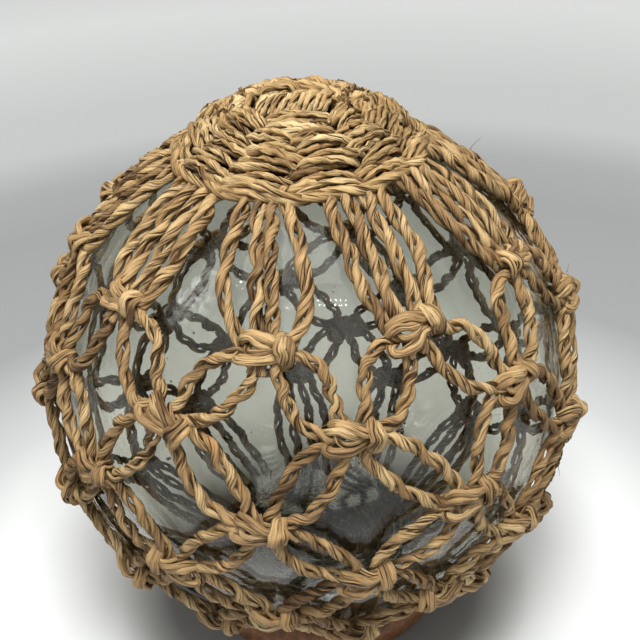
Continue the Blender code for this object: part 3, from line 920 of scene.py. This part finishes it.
def rim_rope():
    """The rope that runs unbroken under the rim's stitches."""
    turn = np.linspace(0, 360, RIM_STATIONS, endpoint=False)
    seam = np.cos(np.radians((turn - FIRST_SEAM) * RIM_STITCHES))
    path = on_ball(RIM_DOWN + 0.35 * seam, turn, RIM_HEIGHT)[None]
    _, normal, side = run_frames(path)
    rings = []
    for ply in range(2):
        angle = 2 * math.pi * RIM_TWISTS * turn / 360 + ply * math.pi
        radial = np.cos(angle)[:, None] * normal + np.sin(angle)[:, None] * side
        rings.append(strand_rings(path + RIM_PLY_OFFSET * radial, radial, RIM_PLY_THICKNESS, RIM_PLY_BREADTH,
                                  12, True))
    return tube_arrays(np.concatenate(rings), np.array([0.45, 0.60]), True)


def hollow_tubes():
    """Strands that lie side by side over the hollow, from left to right, each a shallow arch."""
    share = np.linspace(-1, 1, HOLLOW_STATIONS)
    number = np.arange(HOLLOW_STRANDS)[:, None]
    half = HOLLOW_HALF * np.sqrt(1 - ((number - 2.0) / HOLLOW_STRANDS) ** 2)
    x = half * share + 0.0014 * np.sin(2.1 * number)
    y = HOLLOW_NEAR + number * HOLLOW_STEP + 0.0009 * np.sin(2.4 * share + 1.7 * number)
    rise = HOLLOW_NEAR_HEIGHT + (HOLLOW_FAR_HEIGHT - HOLLOW_NEAR_HEIGHT) * number / (HOLLOW_STRANDS - 1)
    paths = over_pole(x, y, rise - 0.0018 * share ** 4 + 0.0004 * np.sin(3.7 * number))
    taper = 0.55 + 0.45 * np.sin(np.linspace(0.15, math.pi - 0.15, HOLLOW_STATIONS)) ** 0.6
    first_turn = rng.uniform(1.0, 2.2, HOLLOW_STRANDS)
    rings = twisted_cords(paths, first_turn, HOLLOW_PITCH, HOLLOW_SIZE, STITCH_SIDES, taper)
    return tube_arrays(rings, random_tones(*HOLLOW_TONES, len(rings)))


def leaf_tubes():
    """Short stitches that lean to the right as they climb from the hollow to the crest, each a low arch."""
    share = np.linspace(0, 1, LEAF_STATIONS)
    number = np.arange(LEAVES)[:, None]
    x = LEAF_START + number * LEAF_STEP + LEAF_LEAN * (share - 0.5) + 0.0004 * np.sin(2.9 * number)
    y = LEAF_FOOT[0] + (LEAF_HEAD[0] - LEAF_FOOT[0]) * share + 0.0008 * np.sin(1.9 * number)
    rise = LEAF_FOOT[1] + (LEAF_HEAD[1] - LEAF_FOOT[1]) * share + 0.0016 * np.sin(math.pi * share)
    taper = 0.45 + 0.55 * np.sin(np.linspace(0.1, math.pi - 0.5, LEAF_STATIONS)) ** 0.7
    first_turn = rng.normal(1.2, 0.3, LEAVES)
    rings = twisted_cords(over_pole(x, y, rise), first_turn, LEAF_PITCH, LEAF_SIZE, STITCH_SIDES, taper)
    return tube_arrays(rings, random_tones(*LEAF_TONES, len(rings)))


def crest_tubes():
    """The fat stitches of the crest and the rope that lies in front of them."""
    around = np.array([FIRST_SEAM + (number + 0.5) * CREST_STITCH for number in CREST_NUMBERS])
    same = np.ones(len(around))
    paths = stitch_paths(CREST_DOWN * same, around, 1.12 * CREST_STITCH * same, -0.0010 * same,
                         CREST_HEIGHT * same)
    fat = twisted_cords(paths, 0.9 * same, CREST_PITCH, CREST_SIZE, CREST_SIDES, stitch_taper())
    turn = np.linspace(ROPE_START, ROPE_END, ROPE_STATIONS)
    heights = np.interp(turn, np.linspace(ROPE_START, ROPE_END, len(ROPE_HEIGHTS)), ROPE_HEIGHTS)
    rope = on_ball(ROPE_DOWN + 0.5 * np.sin(np.radians(turn) * 4.0), turn, heights)[None]
    slim = np.sin(np.linspace(0.12, math.pi - 0.12, ROPE_STATIONS)) ** 0.4
    rope_rings = twisted_cords(rope, [ROPE_FIRST_TURN], ROPE_PITCH, ROPE_SIZE, CREST_SIDES, slim)
    fat_tubes = tube_arrays(fat, random_tones(*CREST_TONES, len(fat)))
    return [fat_tubes, tube_arrays(rope_rings, np.array(ROPE_TONES))]


def cut_end_tubes():
    """Bundles of short cut strands that stand up beside the crest, with dark ends."""
    starts = np.array([(down + rng.normal(0, 0.8), around + rng.normal(0, 5.0))
                       for around, down, ends in CUT_ENDS for _ in range(ends)])
    share = np.linspace(0, 1, CUT_END_STATIONS)[None]
    lengths = CUT_END_LENGTH * share * rng.uniform(0.6, 1.1, (len(starts), 1))
    base = cap_height(starts[:, 0]) - CUT_END_ROOT
    lean = rng.normal(0, 1.2, (len(starts), 2))
    stub = on_ball(starts[:, :1] + lean[:, :1] * share, starts[:, 1:] + 3 * lean[:, 1:] * share,
                   base[:, None] + lengths)
    rings = strand_rings(stub, np.cross(unit(stub - BALL_CENTRE), [0.0, 0.0, 1.0]) + 1e-4, 0.0013, 0.0017, 8)
    rings[..., 3] = np.maximum(rings[..., 3], 0.45)
    return tube_arrays(rings, rng.uniform(0.0, 0.45, len(starts)))


def build_top_cap():
    """The thick twined cap: rounds of long stitches, a hollow middle, a crest behind it and cut cord ends."""
    blocks = []
    for downs, count, gap, reach in CAP_STITCH_ROUNDS:
        heights = cap_height(downs) - STITCH_SINK
        counts = [count] * len(downs)
        blocks.append(twined_stitches(downs, heights, counts, STITCH_SIZE, STITCH_SIDES, STITCH_TONE,
                                      gap, reach))
    blocks.append(twined_stitches([FILL_DOWN], [FILL_HEIGHT], [FILL_STITCHES], FILL_SIZE, STITCH_SIDES,
                                  FILL_TONE))
    # Two layers of rounds of painted shade under the stitches close the gaps between them
    all_downs = CAP_EDGE / CAP_ROUNDS * (np.arange(CAP_ROUNDS) + 0.3)
    for share, depth in DARK_LAYERS:
        under = np.maximum(DARK_LOWEST, share * cap_height(all_downs) - depth)
        blocks.append(painted_shade_rounds(all_downs, under, DARK_THICKNESS))
    blocks += [rim_rope(), hollow_tubes(), leaf_tubes(), *crest_tubes(), cut_end_tubes()]
    finished_piece("twined_top_cap", blocks, CAP_SEAGRASS, "seagrass_twining", "top_cap")


BASE_ROUNDS = 10
BASE_INNER_ROUNDS, BASE_INNER_STITCHES = 3, 5
BASE_STITCH_HEIGHT, BASE_STITCH_SIZE, BASE_STITCH_SIDES, BASE_TONE = 0.0044, 0.92, 8, 0.5
BASE_DARK_HEIGHT, BASE_DARK_THICKNESS = 0.0022, 0.0030


def build_base_cap():
    """The flatter twined cap under the ball, worked right to its middle."""
    number = np.arange(BASE_ROUNDS)
    downs = 180.0 - BASE_EDGE / BASE_ROUNDS * (number + 0.5)
    counts = np.where(number < BASE_INNER_ROUNDS, BASE_INNER_STITCHES, RIM_STITCHES)
    stitches = twined_stitches(downs, [BASE_STITCH_HEIGHT] * BASE_ROUNDS, counts, BASE_STITCH_SIZE,
                               BASE_STITCH_SIDES, BASE_TONE)
    # Rounds of painted shade under the stitches
    under = painted_shade_rounds(downs, [BASE_DARK_HEIGHT] * BASE_ROUNDS, BASE_DARK_THICKNESS)
    finished_piece("twined_base_cap", [stitches, under], CAP_SEAGRASS, "seagrass_twining", "base_cap")


# Points round and rows of the ball's outer and inner surface
OUTER_GRID, INNER_GRID = (144, 80), (160, 88)
# Seeds: small round bubbles left in the wall when the glass was blown
SEEDS = 260
SEED_RADIUS = (0.00018, 0.00060)
SEED_SIDES, SEED_ROWS = 8, 5
SEED_DEPTHS = (0.35, 0.65)
# How uneven the inner surface is: two long waves, and fine ripples that waver what is seen through it
LONG_WAVE, SECOND_WAVE, RIPPLE = 0.00035, 0.00020, 0.00005


def ball_surface(height, around, rows, inward):
    """A ball as a grid of angles, at a height that may vary over the glass, closed by fans at the poles."""
    down = np.linspace(0, 180, rows + 2)[1:-1]
    turn = 360.0 * np.arange(around) / around
    down, turn = np.meshgrid(down, turn, indexing="ij")
    rings = on_ball(down, turn, height(np.radians(down), np.radians(turn)))[None]
    if not inward:
        rings = rings[:, :, ::-1]
    return tube_arrays(rings, np.full(1, 0.5))


def inner_height(down, turn):
    """The inner surface: the wall below the outer one, with waves and ripples that fade out at the poles."""
    long_wave = LONG_WAVE * np.sin(3 * down + 0.6) * np.sin(2 * turn)
    second_wave = SECOND_WAVE * np.sin(5 * down) * np.cos(3 * turn + 1.0)
    ripple = RIPPLE * np.sin(15 * down + 2 * np.sin(3 * turn)) * np.sin(17 * turn + 3 * np.sin(2 * down))
    return (long_wave + second_wave + ripple) * np.sin(down) - GLASS_WALL


def seed_surfaces():
    """Bubbles as small balls inside the wall, with their faces towards the air in them."""
    down = np.linspace(0, 180, SEED_ROWS + 2)[1:-1, None]
    turn = 360.0 * np.arange(SEED_SIDES) / SEED_SIDES
    place = unit(rng.normal(0, 1, (SEEDS, 3)))
    depth = GLASS_WALL * rng.uniform(*SEED_DEPTHS, (SEEDS, 1))
    middle = BALL_CENTRE + place * (GLASS_RADIUS - depth)
    radius = SEED_RADIUS[0] + (SEED_RADIUS[1] - SEED_RADIUS[0]) * rng.uniform(0, 1, SEEDS) ** 2
    rings = middle[:, None, None] + radius[:, None, None, None] * directions(down, turn)
    return tube_arrays(rings, np.full(SEEDS, 0.5))


def build_glass():
    """The blown ball: an even outer surface, an inner one of slightly uneven depth, and seeds in the wall."""
    outer = ball_surface(lambda down, turn: np.zeros(down.shape), *OUTER_GRID, False)
    inner = ball_surface(inner_height, *INNER_GRID, True)
    finished_piece("blown_glass_ball", [outer, inner, seed_surfaces()], GLASS, "clear_glass", "glass_ball")


RING_TURNS, RING_STEPS = 128, 40


def build_ring():
    """The turned ring: a round section with a flat foot, carried round the axis."""
    foot_turn = math.acos(RING_FOOT_DROP / RING_SECTION_RADIUS)
    angle = np.linspace(1.5 * math.pi - foot_turn, -0.5 * math.pi + foot_turn, RING_STEPS)
    radius = RING_RADIUS + RING_SECTION_RADIUS * np.cos(angle)
    height = RING_FOOT_DROP + RING_SECTION_RADIUS * np.sin(angle)
    turn = 2 * math.pi * np.arange(RING_TURNS) / RING_TURNS
    rings = np.stack([radius * np.sin(turn)[:, None], -radius * np.cos(turn)[:, None],
                      np.broadcast_to(height, (RING_TURNS, RING_STEPS))], -1)[None]
    tubes = tube_arrays(rings, np.full(1, 0.5), True)
    finished_piece("turned_ring_stand", [tubes], WOOD, "stained_wood", "ring_stand")


# The floor: its rim, and its greys by the distance from the middle in metres: pale, with a dark painted
# shadow right under the ball and rings of painted shade further out
FLOOR_RADIUS = 12.0
FLOOR_SIDES = 96
FLOOR_THICKNESS = 0.01
FLOOR_LIGHT_AND_SHADE = ((0.07, "#8C8D8D"), (0.095, "#EDEFEF"), (0.14, "#F0F2F2"), (0.19, "#C8CACA"), (0.27, "#9FA1A1"),
               (0.41, "#9FA1A1"), (0.49, "#AAACAC"), (0.57, "#C7C9C9"), (0.66, "#CDCFCF"), (0.95, "#F0F2F2"))


def build_stage():
    """A pale floor with painted shade about the object: a dark painted shadow right under the ball and soft
    grey rings further out.
    """
    around = 2 * math.pi * np.arange(FLOOR_SIDES) / FLOOR_SIDES
    radius = np.array([FLOOR_RADIUS, FLOOR_RADIUS, 0.001])[:, None]
    height = np.array([-FLOOR_THICKNESS, 0.0, 0.0])[:, None] * np.ones(FLOOR_SIDES)
    points = np.stack([radius * np.cos(around), radius * np.sin(around), height], -1)
    floor = mesh_object("floor", *tube_arrays(points[None], np.full(1, 0.5)))
    material, tree, shader = new_material("pale_paper", {"Roughness": 0.9, "Specular IOR Level": 0.1})
    place = add_node(tree, "TexCoord")
    distance = add_node(tree, "VectorMath", links={0: place.outputs["Object"]}, operation="LENGTH")
    ramp = add_node(tree, "ValToRGB", links={"Fac": distance.outputs["Value"]})
    # Painted shade: a dark shadow under the ball and grey rings about it
    set_stops(ramp, FLOOR_LIGHT_AND_SHADE)
    tree.links.new(ramp.outputs["Color"], shader.inputs["Base Color"])
    floor.data.materials.append(material)


# Three bars of small lamps over the ball, in front and on both sides: the middle of each and half its run,
# from the middle of the ball, and how many lamps a row of it has. They mirror in the glass as rows of dots.
LAMP_BARS = (((0.03, -0.31), (0.115, 0.0), 12), ((-0.23, -0.14), (0.010, 0.075), 6),
             ((0.28, -0.14), (0.010, -0.075), 6))
LAMP_HEIGHT = 0.50
LAMP_ROWS = (0.0, 0.024)
LAMP_SIZE = 0.003
LAMP_POWER = 0.32
LAMP_COLOUR = "#FFFAF2"
# Soft lamps that don't mirror in the glass: place, size, power, and whether they show through it
SOFT_LAMPS = {"soft_panel": ((0.01, -0.29, 0.70), 0.24, 4.6, False),
              "ceiling": ((0.0, 0.1, 1.6), 1.6, 13.8, True)}
# The surroundings: brightest in this direction, between the cosines where the rise starts and is full
SKY_COLOUR = "#F3F3F0"
SKY_DIRECTION = (0.02, -0.51, 0.86)
SKY_LOW, SKY_HIGH = 0.16, 0.84
SKY_START, SKY_FULL = 0.30, 0.95
# A pale streaky patch of the surroundings that mirrors in the glass at the left
PATCH_DIRECTION = (-0.74, -0.06, 0.67)
PATCH_START, PATCH_STRENGTH = 0.955, 5.0


def add_area(name, offset, size, power, colour="#FFFFFF"):
    """A square soft lamp at an offset from the middle of the ball, facing it."""
    lamp = bpy.data.lights.new(name, "AREA")
    lamp.size = size
    lamp.energy = power
    lamp.color = srgb(colour)[:3]
    light = bpy.data.objects.new(name, lamp)
    light.location = tuple(BALL_CENTRE + np.array(offset))
    light.rotation_euler = (-Vector(offset)).to_track_quat("-Z", "Y").to_euler()
    bpy.context.scene.collection.objects.link(light)
    return light


def build_lamps():
    """Bars of small lamps over the ball, a soft panel above its front and a wide soft ceiling."""
    lamps = len(LAMP_ROWS) * sum(count for _, _, count in LAMP_BARS)
    for bar, (bar_middle, half_run, count) in enumerate(LAMP_BARS):
        outward = np.array(bar_middle) / math.hypot(*bar_middle)
        for row, shift in enumerate(LAMP_ROWS):
            for number, share in enumerate(np.linspace(-1, 1, count)):
                x, y = np.array(bar_middle) + shift * outward + share * np.array(half_run)
                add_area(f"lamp_{bar}_{row}_{number}", (x, y, LAMP_HEIGHT), LAMP_SIZE, LAMP_POWER / lamps,
                         LAMP_COLOUR)
    for name, (offset, size, power, through_glass) in SOFT_LAMPS.items():
        light = add_area(name, offset, size, power)
        light.visible_glossy = False
        light.visible_transmission = through_glass


def build_surroundings():
    """Soft even surroundings, brightest above and in front, with a pale streaky patch at the left."""
    world = bpy.data.worlds.new("studio")
    world.use_nodes = True
    tree = world.node_tree
    background = tree.nodes["Background"]
    background.inputs["Color"].default_value = srgb(SKY_COLOUR)
    place = add_node(tree, "TexCoord").outputs["Generated"]

    def glow(direction, settings):
        """A smooth rise towards a direction, by the cosine of the angle from it."""
        facing = add_node(tree, "VectorMath", {1: direction}, {0: place}, operation="DOT_PRODUCT")
        return add_node(tree, "MapRange", settings, {"Value": facing.outputs["Value"]},
                        interpolation_type="SMOOTHSTEP")

    sky = glow(SKY_DIRECTION, {"From Min": SKY_START, "From Max": SKY_FULL,
                               "To Min": SKY_LOW, "To Max": SKY_HIGH})
    patch = glow(PATCH_DIRECTION, {"From Min": PATCH_START, "From Max": 1.0, "To Max": PATCH_STRENGTH})
    streaks = add_node(tree, "TexNoise", {"Scale": 9.0, "Detail": 3.0, "Distortion": 1.2}, {"Vector": place})
    streaky = add_node(tree, "MapRange", {"From Min": 0.46, "From Max": 0.62}, {"Value": streaks})
    total = add_node(tree, "Math", links={0: patch, 1: streaky, 2: sky}, operation="MULTIPLY_ADD")
    tree.links.new(total.outputs["Value"], background.inputs["Strength"])
    bpy.context.scene.world = world
    bpy.context.scene.view_settings.view_transform = "Standard"


def build_camera():
    """The camera: it looks from the front at the elevation, then pitched, yawed and rolled a little."""
    elevation, pitch, yaw, roll = map(math.radians, (CAMERA_ELEVATION, CAMERA_PITCH, CAMERA_YAW, CAMERA_ROLL))
    back = np.array([0.0, -math.cos(elevation), math.sin(elevation)])
    right = np.array([1.0, 0.0, 0.0])
    up = np.array([0.0, math.sin(elevation), math.cos(elevation)])
    eye = BALL_CENTRE + CAMERA_DISTANCE * back
    pitched_back = back * math.cos(pitch) - up * math.sin(pitch)
    pitched_up = up * math.cos(pitch) + back * math.sin(pitch)
    yawed_back = pitched_back * math.cos(yaw) - right * math.sin(yaw)
    yawed_right = right * math.cos(yaw) + pitched_back * math.sin(yaw)
    rolled_right = math.cos(roll) * yawed_right + math.sin(roll) * pitched_up
    rolled_up = -math.sin(roll) * yawed_right + math.cos(roll) * pitched_up
    data = bpy.data.cameras.new("camera")
    data.sensor_width = SENSOR_WIDTH
    data.lens = FOCAL_PIXELS / PICTURE_SIZE * SENSOR_WIDTH
    data.clip_start = 0.01
    camera = bpy.data.objects.new("camera", data)
    columns = np.stack([rolled_right, rolled_up, yawed_back], 1)
    camera.matrix_world = Matrix.Translation(eye) @ Matrix(columns.tolist()).to_4x4()
    bpy.context.scene.collection.objects.link(camera)
    bpy.context.scene.camera = camera


build_camera()
build_net()
build_top_cap()
build_base_cap()
build_glass()
build_ring()
build_stage()
build_lamps()
build_surroundings()
